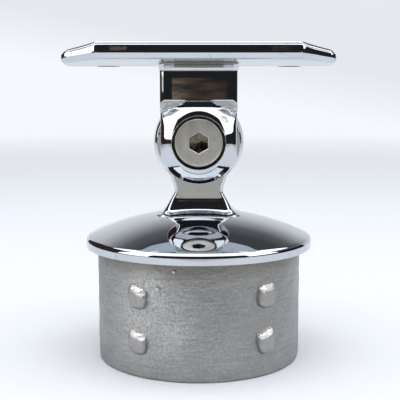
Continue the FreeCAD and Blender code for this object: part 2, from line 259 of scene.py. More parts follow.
def arc(centre, radius, start, end, steps):
    """Points along an arc in a plane, between two angles in degrees."""
    points = []
    for step in range(steps + 1):
        angle = math.radians(blend(start, end, step / steps))
        points.append((centre[0] + radius * math.cos(angle), centre[1] + radius * math.sin(angle)))
    return points


def line(start, end, steps):
    """Points between two, without either."""
    return [tuple(blend(a, b, step / steps) for a, b in zip(start, end)) for step in range(1, steps)]


def outline_ring(corners, inset=0.0, radius=0.0, per_side=1, per_corner=1):
    """Points around a convex outline that is drawn in and rounded at its corners, anticlockwise."""
    corners = [Vector(corner) for corner in corners]
    count = len(corners)
    normals = []
    for index in range(count):
        along = corners[(index + 1) % count] - corners[index]
        normals.append(Vector((along.y, -along.x)).normalized())
    arcs = []
    for index in range(count):
        before, after = normals[index - 1], normals[index]
        centre = corners[index] - (before + after) * ((inset + radius) / (1 + before.dot(after)))
        start = math.degrees(math.atan2(before.y, before.x))
        turn = math.degrees(before.angle(after))
        arcs.append(arc(centre, radius, start, start + turn, per_corner))
    ring = []
    for index in range(count):
        ring += arcs[index] + line(arcs[index][-1], arcs[(index + 1) % count][0], per_side)
    return ring


def rectangle(half_x, half_y):
    """Corners of a rectangle about the middle, anticlockwise."""
    return [(half_x, -half_y), (half_x, half_y), (-half_x, half_y), (-half_x, -half_y)]


def rod(radius, start, end):
    """Section of a plain cylinder between two places on its axis."""
    return [(0, start), (radius, start), (radius, end), (0, end)]


def rough_noise(place, dimension):
    """Fractal noise of three octaves; a lower dimension makes it rougher."""
    return noise.fractal(place, dimension, 2.0, 3)


# Modelling


def select_only(*pieces):
    """Selects these pieces alone and makes the first one active."""
    bpy.ops.object.select_all(action="DESELECT")
    for piece in pieces:
        piece.select_set(True)
    bpy.context.view_layer.objects.active = pieces[0]


def name_active(name):
    """Names the object that was just added, and its mesh."""
    piece = bpy.context.active_object
    piece.name = name
    piece.data.name = name
    return piece


def close_skin():
    """Welds the mesh in edit mode and turns its faces outwards."""
    bpy.ops.mesh.select_all(action="SELECT")
    bpy.ops.mesh.remove_doubles(threshold=WELD)
    bpy.ops.mesh.normals_make_consistent(inside=False)
    bpy.ops.object.mode_set(mode="OBJECT")


def lathe(name, section, axis, steps):
    """A solid of revolution: one vertex is drawn out along the section and spun about the axis."""
    centre = Vector((0, 0, PIVOT)) if axis == ABOUT_HINGE else Vector()
    points = [centre + Vector((radius, 0, 0)) + axis * place for radius, place in section]
    bpy.ops.object.select_all(action="DESELECT")
    bpy.ops.mesh.primitive_plane_add()
    piece = name_active(name)
    bpy.ops.object.mode_set(mode="EDIT")
    bpy.ops.mesh.select_all(action="SELECT")
    bpy.ops.mesh.merge(type="CENTER")
    bpy.ops.transform.translate(value=points[0])
    for here, there in zip(points, points[1:]):
        bpy.ops.mesh.extrude_region_move(TRANSFORM_OT_translate={"value": there - here})
    bpy.ops.mesh.select_all(action="SELECT")
    bpy.ops.mesh.spin(steps=steps, angle=2 * math.pi, center=centre, axis=axis)
    close_skin()
    return piece


def loft(name, rings):
    """A closed skin: a disc is set on the first ring and extruded from ring to ring."""
    bpy.ops.object.select_all(action="DESELECT")
    bpy.ops.mesh.primitive_circle_add(vertices=len(rings[0]), fill_type="NGON")
    piece = name_active(name)
    bpy.ops.object.mode_set(mode="EDIT")
    bpy.ops.mesh.select_all(action="SELECT")
    mesh = bmesh.from_edit_mesh(piece.data)
    order = mesh.verts.layers.int.new("around")
    for vertex in mesh.verts:
        vertex[order] = vertex.index
    set_ring(piece, rings[0])
    for ring in rings[1:]:
        bpy.ops.mesh.extrude_region_move()
        set_ring(piece, ring)
    close_skin()
    return piece


def set_ring(piece, ring):
    """Puts the selected vertices of a loft on the points of a ring."""
    mesh = bmesh.from_edit_mesh(piece.data)
    order = mesh.verts.layers.int["around"]
    for vertex in mesh.verts:
        if vertex.select:
            vertex.co = ring[vertex[order]]
    bmesh.update_edit_mesh(piece.data)


def combine(piece, operation, *tools):
    """Joins tools to a piece or cuts them out of it, and removes them."""
    for tool in tools:
        modifier = piece.modifiers.new("Combine", "BOOLEAN")
        modifier.operation = operation
        modifier.solver = "EXACT"
        modifier.object = tool
        select_only(piece)
        bpy.ops.object.modifier_apply(modifier=modifier.name)
        bpy.data.objects.remove(tool)


def mend_skin(piece):
    """Welds away the slivers that joining and cutting leave."""
    select_only(piece)
    bpy.ops.object.mode_set(mode="EDIT")
    bpy.ops.mesh.select_all(action="SELECT")
    bpy.ops.mesh.remove_doubles(threshold=WELD)
    bpy.ops.mesh.dissolve_degenerate(threshold=WELD)
    bpy.ops.mesh.delete_loose()
    bpy.ops.object.mode_set(mode="OBJECT")


def set_finishes(piece, finish_of, sizes):
    """Gives each face of a casting its finish."""
    for face in piece.data.polygons:
        face.material_index = finish_of(sizes, face.center, face.normal)


def complete(piece, node, body, materials):
    """Scales a piece to metres, shades it and puts it in its node's place."""
    for material in materials:
        piece.data.materials.append(material)
    select_only(piece)
    piece.scale = (MM, MM, MM)
    bpy.ops.object.transform_apply(location=True, rotation=True, scale=True)
    bpy.ops.object.shade_smooth_by_angle(angle=SHARP_ANGLE)
    modifier = piece.modifiers.new("Normals", "WEIGHTED_NORMAL")
    modifier.keep_sharp = True
    bpy.ops.object.modifier_apply(modifier=modifier.name)
    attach(piece, body)
    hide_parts(node)


# Post cap


def dome_of(sizes):
    """Radius of the dome's sphere and the height of its centre."""
    radius = (sizes.flange_radius**2 + sizes.dome_rise**2) / (2 * sizes.dome_rise)
    return radius, sizes.rim_height + sizes.dome_rise - radius


# How the cast wall strays: the scale of its pattern, and the depth below the flange where it is in full
WAVER_SCALE = 0.22
WAVER_FULL = 3.0


def cap_shell(sizes):
    """Plug, flange and dome as one turned shell, with its wall strayed a little as cast."""
    radius, centre = dome_of(sizes)
    rim_centre_r = sizes.flange_radius - sizes.rim_round
    inside = radius - sizes.rim_round
    rim_centre_z = centre + math.sqrt(inside**2 - rim_centre_r**2)
    lean = math.degrees(math.acos(rim_centre_r / inside))
    foot = sizes.rim_foot_round
    plug, low = sizes.plug_radius, -sizes.plug_length
    toe = sizes.plug_foot_round
    hollow = plug - sizes.plug_wall
    roof = radius - sizes.roof_thickness
    roof_lean = math.degrees(math.acos(hollow / roof))
    section = arc((0, centre), radius, 90, lean, steps=64)
    section += arc((rim_centre_r, rim_centre_z), sizes.rim_round, lean, 0, steps=12)[1:]
    section += arc((sizes.flange_radius - foot, foot), foot, 0, -90, steps=6)
    section += arc((plug + foot, -foot), foot, 90, 180, steps=5)
    section += line(section[-1], (plug, low + toe), steps=48)
    section += arc((plug - toe, low + toe), toe, 0, -90, steps=6)
    section += [(hollow + toe, low), (hollow, low + toe)]
    section += line((hollow, low + toe), (hollow, 0), steps=12)
    section += arc((0, centre), roof, roof_lean, 90, steps=24)
    shell = lathe("polished_cap", section, ABOUT_POST, steps=192)
    for vertex in shell.data.vertices:
        out = Vector((vertex.co.x, vertex.co.y, 0))
        if vertex.co.z < -foot and out.length > hollow + WELD:
            depth = smooth_step(-vertex.co.z, foot, WAVER_FULL)
            stray = rough_noise(vertex.co * WAVER_SCALE, 0.6)
            vertex.co += out.normalized() * (stray * sizes.plug_waver * depth)
    return shell


# How far the neck's sides spread for each millimetre below the waist
FOOT_SPREAD = 0.58
# How far its faces lean out for each millimetre below their break, and the height of the break
FACE_LEAN = math.tan(math.radians(9))
FACE_BREAK = 10.8
# Half the width of the lug's closed top
TIP_RADIUS = 0.3
# Half the neck's width where it stands on the dome
FOOT_HALF = 8.2
# Rounding of the neck's upright edges at its foot, at its waist and on the ball
EDGE_FOOT, EDGE_WAIST, EDGE_BALL = 1.7, 0.8, 0.25
# Distance between the neck's rings, and the height where they start to follow the ball
RING_GAP = 0.22
BALL_START = 16.0


def neck_half_sizes(sizes, height):
    """Half width and half depth of the neck and lug at a height, and how far it has turned to a ball."""
    waist = sizes.waist_width / 2
    rise = PIVOT - sizes.waist_height
    cove = (waist**2 + rise**2 - sizes.lug_radius**2) / (2 * (sizes.lug_radius - waist))
    meet = rise * cove / (sizes.lug_radius + cove)
    above = height - sizes.waist_height
    if above < 0:
        half_x = waist + FOOT_SPREAD * soft_max(-above, 0, softness=0.5)
    elif above < meet:
        half_x = waist + cove - math.sqrt(cove**2 - above**2)
    else:
        half_x = math.sqrt(max(sizes.lug_radius**2 - (height - PIVOT) ** 2, TIP_RADIUS**2))
    half_y = sizes.lug_half + FACE_LEAN * soft_max(FACE_BREAK - height, 0, softness=0.6)
    ball = smooth_step(above, meet * 0.55, meet * 1.25)
    return half_x, min(half_y, half_x), ball


def neck_ring(sizes, height, spread=0.0):
    """Points of the neck or lug at a height, standing on the dome near its foot."""
    half_x, half_y, ball = neck_half_sizes(sizes, height)
    dome, centre = dome_of(sizes)
    side_level = centre + math.sqrt(dome**2 - (half_x + spread) ** 2)
    corner = blend(blend(EDGE_FOOT, EDGE_WAIST, smooth_step(height, 7.5, 11.5)), EDGE_BALL, ball)
    corner = min(corner, half_y * 0.6)
    follow = 1 - smooth_step(height, 8.6, 10.6)
    ring = []
    outline = rectangle(half_x + spread, half_y + spread)
    for x, y in outline_ring(outline, radius=corner + spread, per_side=12, per_corner=10):
        round_end = math.sqrt(max(half_x**2 - y * y, 0)) / half_x
        level = centre + math.sqrt(dome**2 - x * x - y * y)
        ring.append(Vector((x * blend(1, round_end, ball), y, height + follow * (level - side_level))))
    return ring


def neck_and_lug(sizes):
    """The flared neck and the knuckle's ball slice, as one skin."""
    dome, centre = dome_of(sizes)
    foot = centre + math.sqrt(dome**2 - FOOT_HALF**2)
    cove, sunk = sizes.foot_cove, 1.0
    rings = [neck_ring(sizes, foot - sunk, cove * 0.83)]
    for angle in range(80, -1, -8):
        turn = math.radians(angle)
        rings.append(neck_ring(sizes, foot + cove * (1 - math.sin(turn)), cove * (1 - math.cos(turn))))
    height = foot + cove
    while height < BALL_START:
        height += RING_GAP
        rings.append(neck_ring(sizes, height))
    start = math.degrees(math.asin((height - PIVOT) / sizes.lug_radius))
    end, steps = 88, 60
    for step in range(1, steps + 1):
        angle = math.radians(blend(start, end, step / steps))
        rings.append(neck_ring(sizes, PIVOT + sizes.lug_radius * math.sin(angle)))
    return loft("neck", rings)


# Angle of the first column of bumps from +X and the pitch of the columns, in degrees
BUMP_FIRST = -124.0
BUMP_PITCH = 72
# Powers that square a bump's outline: on its left, on its right, there when it is lopsided, and upwards
SQUARE_LEFT, SQUARE_RIGHT, SQUARE_LOPSIDED, SQUARE_UP = 0.8, 0.62, 0.36, 0.72
# How lopsided the first column's bumps are, and how far their ground facets turn in
FIRST_LOPSIDE, FIRST_TURN = 0.95, 0.5
# How casting roughens a bump: the scale of the pattern, and its reach across and outwards
ROUGH_SCALE, ROUGH_ACROSS, ROUGH_OUT = 0.55, 0.05, 0.1
# Where a bump's grinding starts, in bump heights, and the share of the metal beyond that it takes
GRIND_START, GRIND_SHARE = 1.25, 0.9
# The grinding wheel's chatter: the scale of its pattern and its depth
CHATTER_SCALE, CHATTER_DEPTH = 2.2, 0.07
# How far out a bump's ground top starts, in bump heights, and how far it looks up
TOP_START, TOP_TILT = 0.25, 0.36
# Angle from +X in degrees, level and radius of each bead on the plug
CAST_BEADS = ((-111.4, -5.6, 0.55), (-102.7, -1.75, 0.36), (37.0, -14.0, 0.42))
# How far a bead's middle stands out of the plug, in bead radii, and how far out its finish starts
BEAD_STAND = 0.25
BEAD_START = 0.12
# The level below which a face within the plug's wall belongs to its hollow
HOLLOW_TOP = 4.2


def grip_bump(sizes, lopside):
    """One cast cushion on the X-Z plane that stands out along -Y, steeper on its right when lopsided."""
    section = [(1.04, -0.9), (1.0, -0.12), (0.97, 0.1), (0.93, 0.32), (0.87, 0.55), (0.79, 0.74)]
    section += [(0.68, 0.87), (0.54, 0.95), (0.36, 0.99), (0.15, 1.0)]
    half_x, half_z = sizes.bump_width / 2, sizes.bump_tall / 2
    steps = 56
    right = blend(SQUARE_RIGHT, SQUARE_LOPSIDED, lopside)
    rings = []
    for scale, lift in section:
        ring = []
        for step in range(steps):
            angle = -2 * math.pi * step / steps
            across, up = math.cos(angle), math.sin(angle)
            square = blend(SQUARE_LEFT, right, smooth_step(across, -0.5, 0.5))
            x = math.copysign(abs(across) ** square, across) * half_x * scale
            z = math.copysign(abs(up) ** SQUARE_UP, up) * half_z * scale
            ring.append(Vector((x + lopside * 0.5 * half_x * (1 - scale), -lift * sizes.bump_height, z)))
        rings.append(ring)
    return loft("grip_bump", rings)


def grip_bumps(sizes):
    """Copies of the bump in two rows around the plug, each roughened and ground in its own way."""
    draw = random.Random(7)
    bumps = []
    for column in range(5):
        turn = math.radians(BUMP_FIRST + column * BUMP_PITCH)
        first = column == 0
        for row in range(2):
            bump = grip_bump(sizes, FIRST_LOPSIDE if first else draw.uniform(0.0, 0.35))
            across = draw.uniform(-0.3, 0.05) + (FIRST_TURN if first else 0.0)
            facet = Vector((across, -1, draw.uniform(0.65, 0.95))).normalized()
            shift = Vector((draw.uniform(-50, 50), 0, row * 9))
            level = -sizes.bump_drop - row * sizes.bump_row_gap
            for vertex in bump.data.vertices:
                place = vertex.co.copy()
                rough = rough_noise(place * ROUGH_SCALE + shift, 0.8)
                place += Vector((place.x * ROUGH_ACROSS, -ROUGH_OUT, place.z * ROUGH_ACROSS)) * rough
                over = place.dot(facet) - sizes.bump_height * GRIND_START
                if over > 0:
                    chatter = rough_noise(place * CHATTER_SCALE + shift, 0.7) * CHATTER_DEPTH
                    place -= facet * (over * GRIND_SHARE + chatter)
                set_on_plug(vertex, sizes, turn, level, place)
            bumps.append(bump)
    return bumps


def set_on_plug(vertex, sizes, turn, level, place):
    """Bends a place around the plug, at an angle and a level."""
    angle = turn + place.x / sizes.plug_radius
    reach = sizes.plug_radius - place.y
    vertex.co = Vector((reach * math.cos(angle), reach * math.sin(angle), level + place.z))


def cast_beads(sizes):
    """Small beads of metal that the casting left on the plug."""
    beads = []
    for degrees, level, radius in CAST_BEADS:
        bpy.ops.object.select_all(action="DESELECT")
        bpy.ops.mesh.primitive_uv_sphere_add(segments=20, ring_count=12, radius=radius)
        bead = name_active("cast_bead")
        for vertex in bead.data.vertices:
            place = Vector((vertex.co.x, vertex.co.y - radius * BEAD_STAND, vertex.co.z))
            set_on_plug(vertex, sizes, math.radians(degrees), level, place)
        beads.append(bead)
    return beads


def on_bead(sizes, place):
    """Whether a place outside the plug's wall belongs to a bead."""
    for degrees, level, radius in CAST_BEADS:
        turn, reach = math.radians(degrees), sizes.plug_radius + radius * BEAD_STAND
        middle = Vector((reach * math.cos(turn), reach * math.sin(turn), level))
        if (place - middle).length < radius * 1.05:
            return True
    return False


def cap_finish(sizes, place, normal):
    """The finish of a face: polished above, cast below and inside, ground on beads and the bumps' tops."""
    reach = math.hypot(place.x, place.y)
    if reach > sizes.plug_radius + BEAD_START and on_bead(sizes, place):
        return GROUND
    top = sizes.plug_radius + sizes.bump_height * TOP_START
    if reach > top and place.z < -1 and normal.z > TOP_TILT:
        return GROUND
    inside = sizes.plug_radius - sizes.plug_wall
    hollow = reach < inside + WELD and place.z < HOLLOW_TOP and normal.z < 0.3
    return CAST if place.z < -0.02 or hollow else POLISHED


def make_cap(sizes, materials):
    """The lower casting."""
    cap = cap_shell(sizes)
    neck = neck_and_lug(sizes)
    reach = sizes.lug_half + 2
    bore = rod(sizes.pivot_radius, -reach, reach)
    combine(neck, "DIFFERENCE", lathe("pivot_bore", bore, ABOUT_HINGE, steps=96))
    combine(cap, "UNION", neck, *grip_bumps(sizes), *cast_beads(sizes))
    mend_skin(cap)
    set_finishes(cap, cap_finish, sizes)
    complete(cap, "post_cap_base", "base", materials)


# Rail saddle


def under_lift(sizes, y):
    """How far the plate's underside has risen at a place across it."""
    radius = (sizes.half_width**2 + sizes.under_rise**2) / (2 * sizes.under_rise)
    return radius - math.sqrt(radius**2 - y * y)


def trough_lift(sizes, y):
    """How far the rail's trough has risen at a place across it."""
    return sizes.rail_radius - math.sqrt(sizes.rail_radius**2 - y * y)


# Height of the plate before it is bent, and the room that its edges need between underside and trough
SLAB = 4.0
EDGE_ROOM = 3.7
# Rounding of the plate's upright corners, and the least that is left where they are drawn in
CORNER_ROUND, CORNER_LEAST = 2.6, 0.2
# Strips across the plate, along which it bends
STRIPS = 48


def cradle_plate(sizes):
    """The plate: an outline with cut corners, drawn in below, sloped above and bent to the rail."""
    straight_x = sizes.half_length - sizes.corner_length
    straight_y = sizes.half_width - sizes.corner_width
    quarter = [(sizes.half_length, straight_y), (straight_x, sizes.half_width)]
    corners = quarter + [(-x, y) for x, y in reversed(quarter)]
    corners += [(-x, -y) for x, y in quarter] + [(x, -y) for x, y in reversed(quarter)]
    bevel, draw, edge = sizes.edge_bevel, sizes.edge_draw, sizes.edge_slope
    rim = [(draw + 0.66, 0), (draw + 0.32, 0.07), (draw + 0.11, 0.25), (draw, 0.48)]
    rim += [(0.02, bevel - 0.1), (0, bevel + 0.05)]
    slope = [(0, 1.92), (0.02, 1.8), (0.06, 1.68), (0.4, 1.18), (0.41, 0.95)]
    slope += [(0.78, 0.285), (0.88, 0.128), (1.0, 0.02), (1.2, 0)]
    rim += [(inset, SLAB - edge * drop) for inset, drop in slope]
    rings = []
    for inset, height in rim:
        ring = outline_ring(corners, inset, max(CORNER_ROUND - inset, CORNER_LEAST), per_corner=8)
        rings.append([Vector((x, y, height)) for x, y in ring])
    plate = loft("plate", rings)
    select_only(plate)
    bpy.ops.object.mode_set(mode="EDIT")
    for strip in range(1, STRIPS):
        place = sizes.half_width * (2 * strip / STRIPS - 1)
        bpy.ops.mesh.select_all(action="SELECT")
        bpy.ops.mesh.bisect(plane_co=(0, place, 0), plane_no=(0, 1, 0))
    bpy.ops.object.mode_set(mode="OBJECT")
    for vertex in plate.data.vertices:
        _, y, height = vertex.co
        under = sizes.under_level + under_lift(sizes, y)
        trough = RAIL_LEVEL + trough_lift(sizes, y)
        room = min((trough - under) / EDGE_ROOM, 1.0)
        if height < SLAB / 2:
            vertex.co.z = under + height * room
        else:
            vertex.co.z = trough + (height - SLAB) * room
    return plate


# The web under the block, above an ear: how fast it bows back, its half width at its top and how it widens
WEB_BOW = 0.04
WEB_HALF, WEB_SPREAD = 3.1, 1.35
# How far the web draws back where it ends, and the height over the pivot where that starts
WEB_END = 3.0
WEB_TAIL = 4.0


def block_front(sizes, x, z):
    """How far the block's front stands from the middle: it slopes in below, beside a web behind a ledge."""
    below = sizes.block_foot - z
    slope = soft_min(sizes.block_reach, sizes.block_reach - below, softness=0.25)
    web = blend(sizes.block_reach, sizes.web_reach - WEB_BOW * x * x, smooth_step(below, 0.0, 0.08))
    web_half = WEB_HALF + WEB_SPREAD * min(max(below, 0), 1.4)
    return blend(web, slope, smooth_step(abs(x), web_half, web_half + 0.5))


# The turn of each step along the root's arcs, and the angle in degrees and the steps of the flat between them
ROOT_TURN = math.radians(4)
ROOT_FLAT_ANGLE, ROOT_FLAT_STEP = 40, 0.18
# How far the root spreads sideways, as a share of its spread to the front
ROOT_SIDE = 0.6
# Distances between the block's rings near its foot and elsewhere, and how far it goes on below the foot
FINE_GAP, COARSE_GAP = 0.08, 0.25
BLOCK_TAIL = 2.2
# How far the block's faces stay behind the ears' where both meet
BLOCK_BACK = 0.03


def root_profile(sizes):
    """Drop and spread along the hollow where the block leaves the plate: an arc, a flat and an arc."""
    upper, lower = sizes.block_root * ROOT_TURN, sizes.block_root * 0.8 * ROOT_TURN
    turns = [(angle, upper) for angle in range(86, 43, -4)]
    turns += [(ROOT_FLAT_ANGLE, ROOT_FLAT_STEP)] * 4
    turns += [(angle, lower) for angle in range(37, 0, -4)]
    spread = sum(step * math.sin(math.radians(angle)) for angle, step in turns)
    drop = 0.02
    profile = [(-0.9, spread), (drop, spread)]
    for angle, step in turns:
        drop += step * math.cos(math.radians(angle))
        spread -= step * math.sin(math.radians(angle))
        profile.append((drop, max(spread, 0.0)))
    return profile


def saddle_block(sizes):
    """The square block under the plate, with a hollow rounding at its root."""
    steps = root_profile(sizes)
    drop = steps[-1][0]
    while drop < sizes.under_level - sizes.block_foot + BLOCK_TAIL:
        near = abs(sizes.under_level - drop - sizes.block_foot) < 0.5
        drop += FINE_GAP if near else COARSE_GAP
        steps.append((drop, 0))
    rings = []
    for drop, spread in steps:
        side = spread * ROOT_SIDE
        outline = rectangle(sizes.block_half + side, sizes.block_reach + spread)
        ring = outline_ring(outline, radius=sizes.block_corner + side, per_side=24, per_corner=10)
        follow = 1 - smooth_step(drop, 1.0, 4.5)
        points = []
        for x, y in ring:
            front = block_front(sizes, x, sizes.under_level - drop) - BLOCK_BACK + spread
            lift = under_lift(sizes, min(abs(y), sizes.half_width)) * follow
            points.append(Vector((x, min(max(y, -front), front), sizes.under_level - drop + lift)))
        rings.append(points)
    return loft("block", rings)


# How far the fork's outline stays inside the block's sides and below its foot
EAR_INSET, EAR_DROP = 0.02, 0.2
# How fast the lip round the bore falls away
LIP_LEAN = math.tan(math.radians(11))
# How an ear falls away outside its lip: its lean and its bow above the pivot, and its cubic share below
CROWN_LEAN, CROWN_BOW = 0.49, 0.068
CROWN_CUBE = 0.3
# The steepest lean where a rim may start, the length it is measured on, and the rim's room to the slot
STEEPEST = math.radians(60)
NUDGE = 0.02
SLOT_ROOM = 0.5
# A shallow dint in the front ear's face: its middle, its half length and width, and its depth
FLAW_MIDDLE = Vector((5.6, 28.5))
FLAW_LONG, FLAW_WIDE = 1.45, 0.8
FLAW_DEPTH = 0.14


def ear_outline(sizes, angle):
    """Reach of the fork's outline from the pivot, at an angle from straight up."""
    side = (sizes.block_half - EAR_INSET) / max(abs(math.sin(angle)), 0.01)
    if math.cos(angle) > 0:
        end = (sizes.block_foot - EAR_DROP - PIVOT) / max(math.cos(angle), 0.01)
        return min(side, end)
    return soft_min(side, sizes.ear_radius, softness=0.25)


def ear_crown(sizes, x, z):
    """How far an ear's crowned face stands from the middle: a lip round the bore, then a bowed slope."""
    reach = math.hypot(x, z - PIVOT)
    lip_width = sizes.lip_width * ((z - PIVOT) / reach) ** 2
    lip_edge = sizes.bore_radius + lip_width
    lip_fall = (reach - sizes.bore_radius) * LIP_LEAN
    out = reach - lip_edge
    share = out / (sizes.ear_radius - lip_edge)
    whole = sizes.block_half - sizes.ear_rim_reach - lip_width * LIP_LEAN
    above = out * (CROWN_LEAN + CROWN_BOW * out)
    below = whole * ((1 - CROWN_CUBE) * share + CROWN_CUBE * share**3)
    fall = lip_width * LIP_LEAN + blend(above, below, smooth_step(PIVOT - z, 1.0, 5.0))
    crown = sizes.block_half - soft_max(lip_fall, fall, softness=0.06)
    web_end = WEB_END * smooth_step(PIVOT + WEB_TAIL - z, 0.0, WEB_TAIL)
    return soft_max(crown, block_front(sizes, x, z) - web_end, softness=0.3)


def ear_point(sizes, angle, reach):
    """A place on an ear's face, at an angle and reach from the pivot."""
    x, z = reach * math.sin(angle), PIVOT + reach * math.cos(angle)
    return Vector((x, -ear_crown(sizes, x, z), z))


def fork_ears(sizes):
    """Both ears as one solid, with the recess for the screw's head in the front one."""
    count, face_steps, rim_steps, flare_steps = 180, 32, 10, 5
    angles = [2 * math.pi * index / count for index in range(count)]
    reaches = [ear_outline(sizes, angle) for angle in angles]
    lip, floor, front = sizes.bore_radius, -sizes.bore_floor, -sizes.block_half
    flare, inmost = 0.08, 2.0

    def hinge_ring(radius, place):
        return [Vector((radius * math.sin(a), place, PIVOT + radius * math.cos(a))) for a in angles]

    def mirrored(ring):
        return [Vector((point.x, -point.y, point.z)) for point in ring]

    face = []
    for step in range(face_steps + 1):
        ring = []
        for angle, reach in zip(angles, reaches):
            outer = reach - rim_of(sizes, angle, reach)
            ring.append(ear_point(sizes, angle, blend(lip + flare, outer, step / face_steps)))
        face.append(ring)
    for step in range(1, rim_steps + 1):
        share = step / rim_steps
        face.append([rim_point(sizes, angle, reach, share) for angle, reach in zip(angles, reaches)])
    rings = [hinge_ring(inmost, floor), hinge_ring(lip - 0.1, floor), hinge_ring(lip, floor - 0.1)]
    rings.append(hinge_ring(lip, blend(floor, front + flare, 0.5)))
    for step in range(flare_steps + 1):
        turn = math.radians(90 * step / flare_steps)
        rings.append(hinge_ring(lip + flare * (1 - math.cos(turn)), front + flare * (1 - math.sin(turn))))
    rings += face[1:]
    middle = [Vector((point.x, max(point.y, -sizes.slot_half - 0.3), point.z)) for point in face[-1]]
    rings += [middle, mirrored(middle)]
    rings += [mirrored(ring) for ring in reversed(face)]
    rings += [hinge_ring(lip, sizes.block_half), hinge_ring(inmost, sizes.block_half)]
    ears = loft("ears", rings)
    for vertex in ears.data.vertices:
        if vertex.co.y < -sizes.slot_half:
            vertex.co.y += FLAW_DEPTH * flaw_at(vertex.co.x, vertex.co.z)
    return ears


def flaw_at(x, z):
    """How deep the dint is at a place on the ear, from 0 to 1."""
    away = Vector((x, z)) - FLAW_MIDDLE
    along, across = (away.x - away.y) / math.sqrt(2), (away.x + away.y) / math.sqrt(2)
    return 1 - smooth_step(math.hypot(along / FLAW_LONG, across / FLAW_WIDE), 0.2, 1.0)


def rim_point(sizes, angle, reach, share):
    """A place on the arc that takes an ear's face round to its side, in front of the slot."""
    rim = rim_of(sizes, angle, reach)
    start = ear_point(sizes, angle, reach - rim)
    before = ear_point(sizes, angle, reach - rim - NUDGE)
    lean = min(max(math.atan2(start.y - before.y, NUDGE), 0.0), STEEPEST)
    radius = rim / (1 - math.sin(lean))
    turn = blend(lean, math.pi / 2, share)
    out = reach - rim + radius * (math.sin(turn) - math.sin(lean))
    squeeze = min((-sizes.slot_half - SLOT_ROOM - start.y) / (radius * math.cos(lean)), 1.0)
    back = radius * (math.cos(lean) - math.cos(turn)) * squeeze
    return Vector((out * math.sin(angle), start.y + back, PIVOT + out * math.cos(angle)))


def rim_of(sizes, angle, reach):
    """Rounding of an ear's rim: full at the sides, a quarter at the end, next to none under the block."""
    top = PIVOT + reach * math.cos(angle)
    full = sizes.ear_round * blend(0.25, 1.0, smooth_step(abs(math.sin(angle)), 0.5, 0.95))
    return full * (1 - smooth_step(top, sizes.block_foot - 4.0, sizes.block_foot - 0.3)) + 0.02


def thread_section(screw, start, end, clearance):
    """Radius and place along a thread, from its start to its end."""
    turns = int((end - start) / screw.thread_pitch)
    section = []
    for turn in range(turns + 1):
        place = start + turn * screw.thread_pitch
        section.append((screw.shank_radius + clearance, place))
        if turn < turns:
            root = screw.shank_radius - screw.thread_depth + clearance
            section.append((root, place + screw.thread_pitch / 2))
    return section


# Turns of the thread in the rear ear, and its clearance round the screw's
REAR_TURNS = 5
THREAD_CLEARANCE = 0.03
# Levels between which the cutters of the rail holes reach
HOLE_LOW, HOLE_HIGH = 35, 50
# Half the length of the middle of the root's flat, whose darker cast finish is a painted dark reflection;
# beyond it, the paler ground finish gives painted highlights
PAINTED_ROOT_BAND_HALF = 5.1


def make_saddle(sizes, screw, materials):
    """The upper casting."""
    saddle = cradle_plate(sizes)
    combine(saddle, "UNION", saddle_block(sizes), fork_ears(sizes))
    slot = rod(sizes.slot_radius, -sizes.slot_half, sizes.slot_half)
    passing = rod(sizes.passing_radius, -sizes.bore_floor - 0.5, 0)
    rear_end = screw.thread_start + REAR_TURNS * screw.thread_pitch
    rear = [(0, 0), (screw.shank_radius, 0)]
    rear += thread_section(screw, screw.thread_start, rear_end, THREAD_CLEARANCE)
    rear += [(0, rear_end)]
    cutters = [
        lathe("slot", slot, ABOUT_HINGE, steps=180),
        lathe("passing_hole", passing, ABOUT_HINGE, steps=96),
        lathe("rear_thread", rear, ABOUT_HINGE, steps=96),
    ]
    rail_hole = rod(RAIL_HOLES["hole_r_mm"], HOLE_LOW, HOLE_HIGH)
    for side in (-1, 1):
        hole = lathe("rail_hole", rail_hole, ABOUT_POST, steps=64)
        for vertex in hole.data.vertices:
            vertex.co.x += side * RAIL_HOLES["spacing_x_mm"] / 2
        cutters.append(hole)
    combine(saddle, "DIFFERENCE", *cutters)
    mend_skin(saddle)
    saddle.name = "polished_saddle"
    set_finishes(saddle, saddle_finish, sizes)
    complete(saddle, "rail_saddle", "saddle", materials)


def saddle_finish(sizes, place, normal):
    """The finish of a face: cast in recess and root, ground on the dint and the slopes, else polished. On the
    root's flat, the cast middle is a painted dark reflection and the ground ends are painted highlights.
    """
    reach = math.hypot(place.x, place.z - PIVOT)
    if reach < sizes.bore_radius + 0.02 and place.y < -sizes.slot_half:
        return CAST
    if place.y < -sizes.slot_half and flaw_at(place.x, place.z) > 0.3:
        return GROUND
    sloped = normal.z < -0.3 and abs(normal.y) > 0.3 and abs(place.y) > sizes.slot_half
    if sloped and sizes.block_foot - 4 < place.z < sizes.block_foot - 0.05:
        return GROUND
    rooted = 0.06 < abs(place.y) - sizes.block_reach < 2.3 and abs(place.x) < sizes.block_half
    ceiling = sizes.under_level + under_lift(sizes, min(abs(place.y), sizes.half_width)) - 0.03
    if rooted and ceiling - 3 < place.z < ceiling and normal.z < -0.6:
        # Painted reflection: the cast middle of the root's flat is a dark band, and its ground ends are
        # highlights.
        return CAST if normal.z < -0.72 or abs(place.x) < PAINTED_ROOT_BAND_HALF else GROUND
    return POLISHED


# Hinge screw


